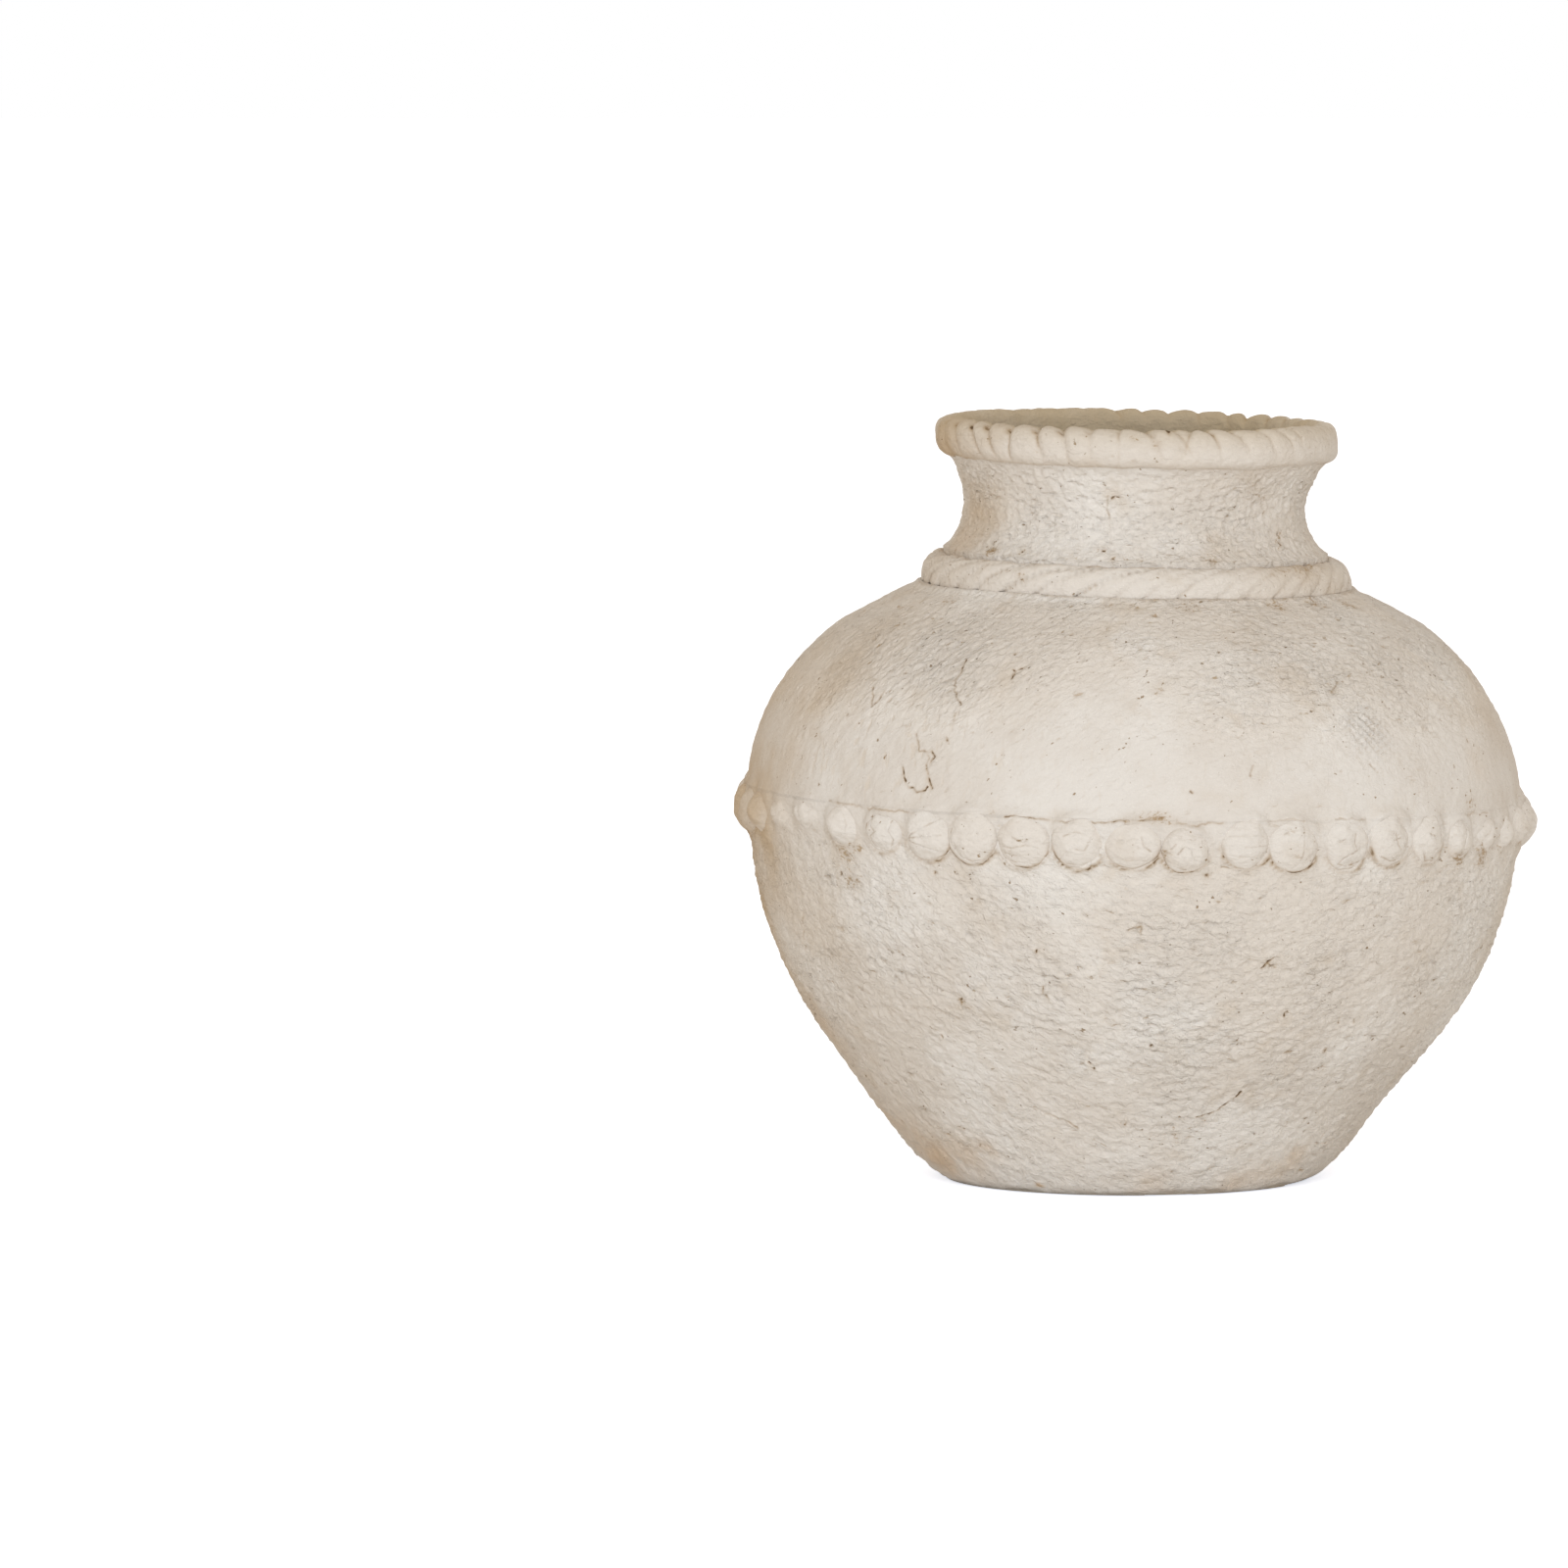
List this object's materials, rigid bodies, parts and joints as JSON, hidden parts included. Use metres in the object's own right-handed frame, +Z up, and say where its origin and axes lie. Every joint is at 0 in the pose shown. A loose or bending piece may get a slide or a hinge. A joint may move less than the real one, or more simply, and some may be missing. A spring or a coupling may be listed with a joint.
{
  "type": "terracotta vase",
  "caption": "Wide-bellied whitewashed terracotta vase with a twisted rope rim, a rope collar and a row of round clay beads about its girdle, open at the top.",
  "frame": {"origin": "centre of the foot, on the ground", "axes": "+Z up along the vase's axis, -Y towards the viewer of the picture, +X to the right"},
  "size_m": [0.3616, 0.3618, 0.3409],
  "materials": {
    "washed_clay": "matt, chalky whitewash brushed over fired terracotta",
    "washed_trim": "matt, chalky whitewash with brown dirt left in the grooves"
  },
  "bodies": {
    "root": {"lower_bowl": "washed_clay", "shoulder": "washed_clay", "neck": "washed_clay", "collar_rope": "washed_trim", "rim_rope": "washed_trim", "bead_01": "washed_trim", "bead_02": "washed_trim", "bead_03": "washed_trim", "bead_04": "washed_trim", "bead_05": "washed_trim", "bead_06": "washed_trim", "bead_07": "washed_trim", "bead_08": "washed_trim", "bead_09": "washed_trim", "bead_10": "washed_trim", "bead_11": "washed_trim", "bead_12": "washed_trim", "bead_13": "washed_trim", "bead_14": "washed_trim", "bead_15": "washed_trim", "bead_16": "washed_trim", "bead_17": "washed_trim", "bead_18": "washed_trim", "bead_19": "washed_trim", "bead_20": "washed_trim", "bead_21": "washed_trim", "bead_22": "washed_trim", "bead_23": "washed_trim", "bead_24": "washed_trim", "bead_25": "washed_trim", "bead_26": "washed_trim", "bead_27": "washed_trim", "bead_28": "washed_trim", "bead_29": "washed_trim", "bead_30": "washed_trim", "bead_31": "washed_trim", "bead_32": "washed_trim", "bead_33": "washed_trim", "bead_34": "washed_trim", "bead_35": "washed_trim", "bead_36": "washed_trim", "bead_37": "washed_trim", "bead_38": "washed_trim", "bead_39": "washed_trim", "bead_40": "washed_trim", "bead_41": "washed_trim", "bead_42": "washed_trim", "bead_43": "washed_trim", "bead_44": "washed_trim", "bead_45": "washed_trim", "bead_46": "washed_trim"}
  },
  "joints": []
}
